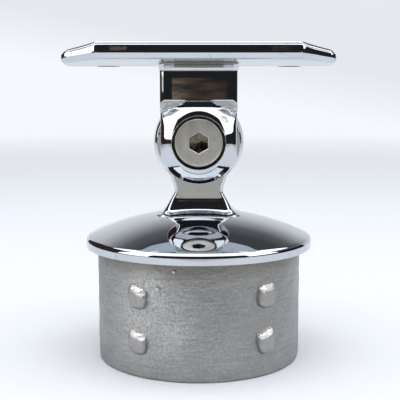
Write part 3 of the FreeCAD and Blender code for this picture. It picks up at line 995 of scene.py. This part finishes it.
def make_screw(sizes, materials):
    """The low-head socket screw."""
    face, seat, edge = sizes.head_face, sizes.head_seat, sizes.head_round
    head, shank = sizes.head_radius, sizes.shank_radius
    section = [(0, face)] + line((0, face), (head - edge, face), steps=12)
    section += arc((head - edge, face + edge), edge, -90, 0, steps=6)
    section += [(head, seat - 0.15), (head - 0.15, seat), (shank, seat)]
    section += thread_section(sizes, sizes.thread_start, sizes.shank_end - 0.4, 0)
    section += [(shank - 0.5, sizes.shank_end), (0, sizes.shank_end)]
    screw = lathe("socket_screw", section, ABOUT_HINGE, steps=128)
    corner, chamfer = sizes.hex_flats / math.sqrt(3), 0.18
    floor = face + sizes.hex_depth
    socket = []
    depths = [(corner + chamfer, face - 1), (corner + chamfer, face), (corner, face + 0.14), (corner, floor)]
    depths += [(corner * 0.5, floor + 0.25), (0.1, floor + 0.6)]
    for reach, place in depths:
        ring = []
        for index in range(6):
            angle = math.radians(60 * index)
            ring.append(Vector((reach * math.sin(angle), place, PIVOT + reach * math.cos(angle))))
        socket.append(ring)
    combine(screw, "DIFFERENCE", loft("socket", socket))
    mend_skin(screw)
    for polygon in screw.data.polygons:
        middle = polygon.center
        deep = middle.y > face + 0.15 and math.hypot(middle.x, middle.z - PIVOT) < corner + 0.05
        # Faces deep in the socket take the second material, whose dark colour is painted shade in the recess.
        polygon.material_index = int(deep and middle.y < seat)
    complete(screw, "hinge_screw", "saddle", materials)


# Materials


def add_node(tree, kind, inputs=None, **settings):
    """Adds a node, sets its options and fills each input with a value or a link."""
    made = tree.nodes.new(f"ShaderNode{kind}")
    for name, value in settings.items():
        setattr(made, name, value)
    for name, value in (inputs or {}).items():
        if isinstance(value, bpy.types.NodeSocket):
            tree.links.new(value, made.inputs[name])
        else:
            made.inputs[name].default_value = value
    return made


def set_stops(ramp, stops):
    """Gives a colour ramp these stops, each a position and a colour."""
    elements = ramp.color_ramp.elements
    while len(elements) < len(stops):
        elements.new(1.0)
    for element, (position, value) in zip(elements, stops):
        element.position = position
        element.color = (*value, 1.0)


def fresh_material(name):
    """An empty node material with its output."""
    material = bpy.data.materials.new(name)
    material.use_nodes = True
    tree = material.node_tree
    tree.nodes.clear()
    return material, tree, add_node(tree, "OutputMaterial")


def object_place(tree):
    """The place on the object, in metres."""
    return add_node(tree, "TexCoord").outputs["Object"]


def steel(name, colour_value, roughness):
    """A plain metal with its tree, its shader and the place on the piece, ready for detail."""
    material, tree, output = fresh_material(name)
    inputs = {"Base Color": (*colour_value, 1.0), "Metallic": 1.0, "Roughness": roughness}
    shader = add_node(tree, "BsdfPrincipled", inputs)
    tree.links.new(shader.outputs["BSDF"], output.inputs["Surface"])
    return material, tree, shader, object_place(tree)


def mask_group(name, kind, output, low, high, **options):
    """A shared node group that turns a texture into a mask: none at the low value, full at the high one."""
    if name in bpy.data.node_groups:
        return bpy.data.node_groups[name]
    group = bpy.data.node_groups.new(name, "ShaderNodeTree")
    group.interface.new_socket("Vector", in_out="INPUT", socket_type="NodeSocketVector")
    group.interface.new_socket("Scale", in_out="INPUT", socket_type="NodeSocketFloat")
    group.interface.new_socket("Mask", in_out="OUTPUT", socket_type="NodeSocketFloat")
    given = group.nodes.new("NodeGroupInput")
    inputs = {"Vector": given.outputs["Vector"], "Scale": given.outputs["Scale"], **options}
    texture = add_node(group, kind, inputs).outputs[output]
    result = group.nodes.new("NodeGroupOutput")
    group.links.new(ranged(group, texture, low, high), result.inputs["Mask"])
    return group


def mask_of(tree, group, vector, scale):
    """A shared mask at a place and a scale."""
    return add_node(tree, "Group", {"Vector": vector, "Scale": scale}, node_tree=group).outputs["Mask"]


def clouds(tree, vector, scale):
    """A mask of soft clouds."""
    return mask_of(tree, mask_group("Clouds", "TexNoise", "Fac", 0.36, 0.66, Detail=4.0), vector, scale)


def pits(tree, vector, scale):
    """A mask of scattered pits."""
    return mask_of(tree, mask_group("Pits", "TexVoronoi", "Distance", 0.24, 0.08), vector, scale)


def noise_at(tree, vector, scale, detail):
    """Plain noise at a place."""
    return add_node(tree, "TexNoise", {"Vector": vector, "Scale": scale, "Detail": detail}).outputs["Fac"]


def stretched(tree, vector, factors):
    """A place drawn out along an axis, for streaks."""
    return add_node(tree, "VectorMath", {0: vector, 1: factors}, operation="MULTIPLY").outputs["Vector"]


def ranged(tree, value, start, end, low=0.0, high=1.0):
    """A value brought smoothly from one range into another."""
    inputs = {"Value": value, "From Min": start, "From Max": end, "To Min": low, "To Max": high}
    return add_node(tree, "MapRange", inputs, interpolation_type="SMOOTHSTEP").outputs["Result"]


def both(tree, one, other, operation="MULTIPLY"):
    """Two values put together."""
    return add_node(tree, "Math", {0: one, 1: other}, operation=operation, use_clamp=True).outputs["Value"]


def mixed_colour(tree, mask, one, other):
    """One colour where the mask is empty and the other where it is full."""
    sides = [side if isinstance(side, bpy.types.NodeSocket) else (*side, 1.0) for side in (one, other)]
    return add_node(tree, "Mix", {0: mask, 6: sides[0], 7: sides[1]}, data_type="RGBA").outputs[2]


def dress(tree, shader, base, coats, roughness, relief):
    """Lays coats over a metal's base colour, and gives it its roughness and its relief.

    A coat is a mask and a colour. A layer of relief is a height, a strength and a distance in metres.
    """
    for mask, coat in coats:
        base = mixed_colour(tree, mask, base, coat)
    tree.links.new(base, shader.inputs["Base Color"])
    tree.links.new(roughness, shader.inputs["Roughness"])
    under = {}
    for height, strength, distance in relief:
        bump = add_node(tree, "Bump", {"Height": height, "Strength": strength, "Distance": distance, **under})
        under = {"Normal": bump.outputs["Normal"]}
    tree.links.new(under["Normal"], shader.inputs["Normal"])


def polished_steel(finish):
    """Mirror polish, a little uneven from the buffing wheel, with faint smears and a few pits."""
    material, tree, shader, place = steel("polished_steel", finish.polished, 0.03)
    polished = Vector(finish.polished)
    smears = clouds(tree, stretched(tree, place, (1.0, 1.0, 0.4)), 85.0)
    specks = both(tree, pits(tree, place, 420.0), clouds(tree, place, 160.0))
    waves = noise_at(tree, place, 120.0, 1.5)
    coats = [(smears, polished * 0.93), (both(tree, specks, 0.35), polished * 0.5)]
    roughness = ranged(tree, smears, 0.0, 1.0, 0.022, 0.06)
    dress(tree, shader, polished, coats, roughness, [(waves, 0.05, 0.00012), (specks, 0.06, -0.00003)])
    return material


# The middle of the paler, pitted patch on the plug, in metres
PALE_PATCH = (-0.0105, -0.0202, -0.0115)


def cast_steel(finish):
    """Matte casting skin: grain, pits, brushed lines, faint streaks, stains and a paler patch, with painted
    shade in the crevice round the bumps and under the flange.
    """
    material, tree, shader, place = steel("cast_steel", finish.cast, 0.45)
    cast = Vector(finish.cast)
    # Olive painted shade that darkens the plug just under the flange
    olive_shade = Vector((cast.x * 0.58, cast.y * 0.58, cast.z * 0.46))
    level = add_node(tree, "SeparateXYZ", {"Vector": place}).outputs["Z"]
    flat = stretched(tree, place, (1.0, 1.0, 0.0))
    reach = add_node(tree, "VectorMath", {0: flat}, operation="LENGTH").outputs["Value"]
    away = add_node(tree, "VectorMath", {0: place, 1: PALE_PATCH}, operation="DISTANCE").outputs["Value"]
    streaks = clouds(tree, stretched(tree, place, (1.0, 1.0, 7.0)), 150.0)
    stain = clouds(tree, place, 60.0)
    patch = both(tree, ranged(tree, away, 0.0135, 0.002), ranged(tree, stain, 0.0, 1.0, 0.55, 1.0))
    rough = ranged(tree, patch, 0.0, 0.7, 0.35, 1.0)
    holes = both(tree, pits(tree, place, 1900.0), ranged(tree, patch, 0.0, 0.7, 0.25, 1.0))
    grain = noise_at(tree, place, 2200.0, 3.0)
    low_grain = both(tree, ranged(tree, grain, 0.5, 0.34, 0.0, 0.55), rough)
    high_grain = both(tree, ranged(tree, grain, 0.5, 0.66, 0.0, 0.55), rough)
    brushed = clouds(tree, stretched(tree, place, (1.0, 1.0, 11.0)), 210.0)
    brushed = both(tree, brushed, ranged(tree, patch, 0.0, 0.7, 1.0, 0.3))
    peel = both(tree, clouds(tree, place, 1250.0), rough)
    # Painted shade: a dark line where the bumps stand out of the plug
    painted_crevice_shade = ranged(tree, reach, 0.02291, 0.02305, 0.0, 0.75)
    bump_top = ranged(tree, reach, 0.0231, 0.0237, 0.0, 0.7)
    # Painted shade under the flange's overhang
    painted_shade_under_flange = ranged(tree, level, -0.0045, -0.0002, 0.0, 0.75)
    coats = [
        (stain, cast * 1.06),
        (both(tree, streaks, 0.25), cast * 0.85),
        (both(tree, patch, 0.9), cast * 1.85),
        (both(tree, brushed, 0.6), cast * 0.78),
        (low_grain, cast * 0.75),
        (high_grain, cast * 1.8),
        (both(tree, holes, 0.45), cast * 0.55),
        (painted_crevice_shade, cast * 0.5),
        (bump_top, cast * 1.3),
        (painted_shade_under_flange, olive_shade),
    ]
    roughness = ranged(tree, stain, 0.0, 1.0, 0.5, 0.4)
    relief = [(grain, 0.55, 0.0002), (streaks, 0.08, 0.0002), (brushed, 0.12, 0.0001)]
    relief += [(peel, 0.6, 0.0002), (holes, 0.6, -0.0002)]
    dress(tree, shader, cast * 0.93, coats, roughness, relief)
    return material


def ground_steel(finish):
    """Steel ground bright by hand, with torn streaks."""
    material, tree, shader, place = steel("ground_steel", finish.ground, 0.3)
    ground = Vector(finish.ground)
    torn = clouds(tree, stretched(tree, place, (1.0, 1.0, 2.5)), 700.0)
    fine = clouds(tree, place, 2400.0)
    coats = [(torn, ground * 1.12), (both(tree, fine, 0.4), ground * 0.8)]
    roughness = ranged(tree, torn, 0.0, 1.0, 0.42, 0.28)
    dress(tree, shader, ground * 0.8, coats, roughness, [(torn, 0.35, 0.0002), (fine, 0.15, 0.0001)])
    return material


def casting_steels(finish):
    """The finishes that both castings share: polished, as cast and ground."""
    makers = (polished_steel, cast_steel, ground_steel)
    return [bpy.data.materials.get(maker.__name__) or maker(finish) for maker in makers]


def turned_steel(finish):
    """Plain turned steel with faint drawn streaks and a few specks."""
    material, tree, shader, place = steel("turned_steel", finish.turned, 0.36)
    turned = Vector(finish.turned)
    streaks = clouds(tree, stretched(tree, place, (1.0, 1.0, 0.12)), 900.0)
    dull = clouds(tree, place, 260.0)
    specks = both(tree, pits(tree, place, 700.0), dull)
    coats = [(streaks, turned * 1.05), (both(tree, dull, 0.4), turned * 0.88)]
    coats += [(both(tree, specks, 0.6), turned * 0.5)]
    roughness = ranged(tree, dull, 0.0, 1.0, 0.32, 0.44)
    dress(tree, shader, turned * 0.93, coats, roughness, [(streaks, 0.08, 0.0001), (specks, -0.2, 0.0001)])
    return material


def socket_shade_steel(finish):
    """The inside of the screw's socket: broached steel painted dark as the shade in the recess, with paler
    blotches.
    """
    material, tree, shader, place = steel("socket_shade_steel", finish.socket, 0.24)
    socket = Vector(finish.socket)
    blotches = clouds(tree, place, 480.0)
    broach = clouds(tree, stretched(tree, place, (1.0, 0.1, 1.0)), 1500.0)
    roughness = ranged(tree, blotches, 0.0, 1.0, 0.18, 0.36)
    # Painted shade: the dark base stands for the shade inside the recess.
    dress(tree, shader, socket * 0.6, [(blotches, socket * 1.5)], roughness, [(broach, 0.2, 0.0001)])
    return material


# Stage


# Width of the table, and how far it reaches in front of and behind the bracket, in metres
TABLE_WIDE = 2.4
TABLE_FRONT = 0.33
TABLE_BACK = 1.3
# Distances from the bracket where the table starts to fade and is gone
FADE_START, FADE_END = 0.25, 1.1
# Strength of the room's light on surfaces that do not mirror it
SOFT_STRENGTH = 0.72
# How much the room's shade leans to one side
ROOM_LEAN = 0.19
# Width of the floor in front that only the metal mirrors, and its near and far edges, in metres
APRON_WIDE = 0.9
APRON_FRONT = 0.15
APRON_BACK = 1.2
# Strength of the white cards
CARD_STRENGTH = 2.1


def make_stage(studio):
    """Table, room, cards, light and camera."""
    make_table(studio)
    make_room(studio)
    make_cards(studio)
    make_light()
    make_camera(studio)
    bpy.context.scene.view_settings.view_transform = "Standard"


def add_panel(name, centre, size, turn=(0, 0, 0)):
    """A flat stage panel of a width and a length, turned and then put in its place."""
    bpy.ops.object.select_all(action="DESELECT")
    bpy.ops.mesh.primitive_plane_add(size=1, location=centre, rotation=turn)
    panel = name_active(name)
    panel.scale = (*size, 1)
    bpy.ops.object.transform_apply(location=True, rotation=True, scale=True)
    return panel


def make_table(studio):
    """A pale table under the bracket and the camera, which fades into the room behind."""
    middle = (0, TABLE_BACK / 2 - TABLE_FRONT / 2, CAD_BOX[0][2])
    table = add_panel("table", middle, (TABLE_WIDE, TABLE_BACK + TABLE_FRONT))
    material, tree, output = fresh_material("pale_table")
    reach = add_node(tree, "VectorMath", {0: object_place(tree)}, operation="LENGTH").outputs["Value"]
    fade = ranged(tree, reach, FADE_START, FADE_END)
    matte = add_node(tree, "BsdfDiffuse", {"Color": (*studio.table_colour, 1.0)}).outputs["BSDF"]
    clear = add_node(tree, "BsdfTransparent").outputs["BSDF"]
    mixed = add_node(tree, "MixShader", {0: fade, 1: matte, 2: clear}).outputs["Shader"]
    tree.links.new(mixed, output.inputs["Surface"])
    table.data.materials.append(material)


def make_room(studio):
    """A world that is pale low down, where it is seen and mirrored, and darkens higher up."""
    world = bpy.data.worlds.new("pale_room")
    world.use_nodes = True
    tree = world.node_tree
    tree.nodes.clear()
    direction = add_node(tree, "TexCoord").outputs["Generated"]
    parts = add_node(tree, "SeparateXYZ", {"Vector": direction}).outputs
    lean = add_node(tree, "Math", {0: parts["X"], 1: ROOM_LEAN, 2: parts["Z"]}, operation="MULTIPLY_ADD")
    ramp = add_node(tree, "ValToRGB", {"Fac": lean.outputs["Value"]})
    pale = Vector(studio.room_colour)
    stops = ((0.0, 1.0), (0.06, 0.86), (0.18, 0.87), (0.32, 0.78))
    stops += ((0.4, 0.62), (0.48, 0.43), (0.58, 0.17), (0.7, 0.08))
    set_stops(ramp, [(position, pale * share) for position, share in stops])
    rays = add_node(tree, "LightPath").outputs
    seen = both(tree, rays["Is Camera Ray"], rays["Is Glossy Ray"], "ADD")
    seen = both(tree, seen, rays["Is Transmission Ray"], "ADD")
    lit = {"Color": (*studio.room_colour, 1.0), "Strength": SOFT_STRENGTH}
    soft = add_node(tree, "Background", lit).outputs["Background"]
    backdrop = add_node(tree, "Background", {"Color": ramp.outputs["Color"]}).outputs["Background"]
    mixed = add_node(tree, "MixShader", {0: seen, 1: soft, 2: backdrop}).outputs["Shader"]
    add_node(tree, "OutputWorld", {"Surface": mixed})
    bpy.context.scene.world = world


def glow(name, value, strength=1.0):
    """A material for a card that the metal mirrors."""
    material, tree, output = fresh_material(name)
    light = add_node(tree, "Emission", {"Color": (*value, 1.0), "Strength": strength})
    tree.links.new(light.outputs["Emission"], output.inputs["Surface"])
    return material, tree, light


def streaked_brown(studio):
    """A brown glow, crossed by dark streaks."""
    material, tree, light = glow("streaked_brown", studio.brown_colour)
    place = object_place(tree)
    streaks = noise_at(tree, stretched(tree, place, (60.0, 0.0, 330.0)), 1.0, 3.0)
    ramp = add_node(tree, "ValToRGB", {"Fac": streaks})
    brown = Vector(studio.brown_colour)
    set_stops(ramp, [(0.34, Vector(studio.flag_colour)), (0.5, brown * 0.55), (0.66, brown)])
    tree.links.new(ramp.outputs["Color"], light.inputs["Color"])
    across = add_node(tree, "SeparateXYZ", {"Vector": place}).outputs["X"]
    tree.links.new(ranged(tree, across, -0.012, -0.002, 2.6, 1.0), light.inputs["Strength"])
    return material


def apron_glow(studio):
    """The floor far in front as the metal mirrors it: it greys away from the bracket."""
    material, tree, light = glow("apron", studio.flag_colour)
    across = add_node(tree, "SeparateXYZ", {"Vector": object_place(tree)}).outputs["Y"]
    far = add_node(tree, "MapRange", {"Value": across, "From Min": 0.0, "From Max": -APRON_BACK})
    ramp = add_node(tree, "ValToRGB", {"Fac": far.outputs["Result"]})
    grey = Vector(studio.apron_colour)
    shares = ((0.15, 1.5), (0.21, 1.35), (0.26, 1.12), (0.31, 1.0), (0.62, 0.95))
    set_stops(ramp, [(distance / APRON_BACK, grey * share) for distance, share in shares])
    tree.links.new(ramp.outputs["Color"], light.inputs["Color"])
    return material


def make_cards(studio):
    """Reflectors and flags around the bracket, which only its mirror faces see."""
    white = glow("white_reflector", studio.reflector_colour, CARD_STRENGTH)[0]
    dark = glow("dark_flag", studio.flag_colour)[0]
    rust = glow("rust_flag", studio.rust_colour)[0]
    brown = streaked_brown(studio)
    upright = math.pi / 2
    facing, sideways = (upright, 0, 0), (0, upright, 0)
    level = CAD_BOX[0][2] + 0.0005
    middle = (0, -(APRON_FRONT + APRON_BACK) / 2, level)
    apron = add_panel("apron", middle, (APRON_WIDE, APRON_BACK - APRON_FRONT))
    cards = [
        (apron, apron_glow(studio)),
        (add_panel("overhead_reflector", (0, -0.05, 0.55), (1.5, 0.91)), white),
        (add_panel("front_flag", (0, -0.6, 0.31), (1.4, 0.62), facing), dark),
        (add_panel("camera_flag", (0, -0.192, 0.0356), (0.0236, 0.0098), facing), brown),
        (add_panel("left_back_flag", (-0.56, 0.43, 0.28), (0.66, 1.06), sideways), rust),
        (add_panel("right_back_flag", (0.56, 0.2, 0.1), (0.3, 0.52), sideways), dark),
    ]
    for side, name, flag_top, shade in ((-1, "left", 0.035, rust), (1, "right", 0.12, dark)):
        patch = add_panel(f"{name}_patch", (side * 0.034, -0.192, 0.053), (0.007, 0.006), facing)
        reflector = add_panel(f"{name}_reflector", (side * 0.55, -0.255, 0.31), (0.52, 0.41), sideways)
        place, size = (side * 0.54, -0.25, flag_top / 2 - 0.02), (flag_top + 0.04, 0.7)
        flag = add_panel(f"{name}_flag", place, size, sideways)
        cards += [(patch, brown), (reflector, white), (flag, shade)]
    for card, material in cards:
        card.data.materials.append(material)
        card.visible_camera = False
        card.visible_diffuse = False
        card.visible_shadow = False


def make_light():
    """A soft light for the table's shading, kept out of the mirror faces."""
    lamp = bpy.data.lights.new("softbox", "AREA")
    lamp.shape = "RECTANGLE"
    lamp.size = 0.7
    lamp.size_y = 0.5
    lamp.energy = 2.7
    light = bpy.data.objects.new("softbox", lamp)
    light.location = (0.02, -0.1, 0.6)
    light.visible_glossy = False
    bpy.context.collection.objects.link(light)


def make_camera(studio):
    """The camera at the bracket's front, a little above its middle."""
    data = bpy.data.cameras.new("camera")
    data.lens = studio.camera_lens
    data.clip_start = 0.005
    camera = bpy.data.objects.new("camera", data)
    camera.location = studio.camera_place
    camera.rotation_euler = (math.pi / 2 - studio.camera_pitch, 0, 0)
    bpy.context.collection.objects.link(camera)
    bpy.context.scene.camera = camera


# Operators and panel


class BRACKET_OT_cap(bpy.types.Operator):
    """Model the post cap with its plug, neck and lug"""

    bl_idname = "bracket.cap"
    bl_label = "Post Cap"

    def execute(self, context):
        scene = context.scene
        make_cap(in_millimetres(scene.bracket_cap), casting_steels(scene.bracket_finishes))
        return {"FINISHED"}


class BRACKET_OT_saddle(bpy.types.Operator):
    """Model the rail saddle with its plate, block and ears"""

    bl_idname = "bracket.saddle"
    bl_label = "Rail Saddle"

    def execute(self, context):
        scene = context.scene
        sizes, screw = in_millimetres(scene.bracket_saddle), in_millimetres(scene.bracket_screw)
        make_saddle(sizes, screw, casting_steels(scene.bracket_finishes))
        return {"FINISHED"}


class BRACKET_OT_screw(bpy.types.Operator):
    """Model the hinge screw with its socket and thread"""

    bl_idname = "bracket.screw"
    bl_label = "Hinge Screw"

    def execute(self, context):
        scene = context.scene
        materials = [turned_steel(scene.bracket_finishes), socket_shade_steel(scene.bracket_finishes)]
        make_screw(in_millimetres(scene.bracket_screw), materials)
        return {"FINISHED"}


class BRACKET_OT_stage(bpy.types.Operator):
    """Set up the table, the room, the cards, the light and the camera"""

    bl_idname = "bracket.stage"
    bl_label = "Stage"

    def execute(self, context):
        make_stage(context.scene.bracket_studio)
        return {"FINISHED"}


class BRACKET_PT_panel(bpy.types.Panel):
    """The bracket's pieces and sizes"""

    bl_idname = "BRACKET_PT_panel"
    bl_label = "Handrail Bracket"
    bl_space_type = "VIEW_3D"
    bl_region_type = "UI"
    bl_category = "Bracket"

    def draw(self, context):
        for operator in OPERATORS:
            self.layout.operator(operator.bl_idname)
        for name in GROUPS:
            box = self.layout.box()
            group = getattr(context.scene, name)
            for size in type(group).__annotations__:
                box.prop(group, size)


OPERATORS = (BRACKET_OT_cap, BRACKET_OT_saddle, BRACKET_OT_screw, BRACKET_OT_stage)
GROUPS = {
    "bracket_cap": CapSizes,
    "bracket_saddle": SaddleSizes,
    "bracket_screw": ScrewSizes,
    "bracket_finishes": Finishes,
    "bracket_studio": Studio,
}
CLASSES = (*GROUPS.values(), *OPERATORS, BRACKET_PT_panel)


def register():
    for made in CLASSES:
        bpy.utils.register_class(made)
    for name, group in GROUPS.items():
        setattr(bpy.types.Scene, name, PointerProperty(type=group))


def unregister():
    for name in GROUPS:
        delattr(bpy.types.Scene, name)
    for made in reversed(CLASSES):
        bpy.utils.unregister_class(made)


def main():
    register()
    bpy.ops.bracket.cap()
    bpy.ops.bracket.saddle()
    bpy.ops.bracket.screw()
    bpy.ops.bracket.stage()


if __name__ == "__main__":
    main()
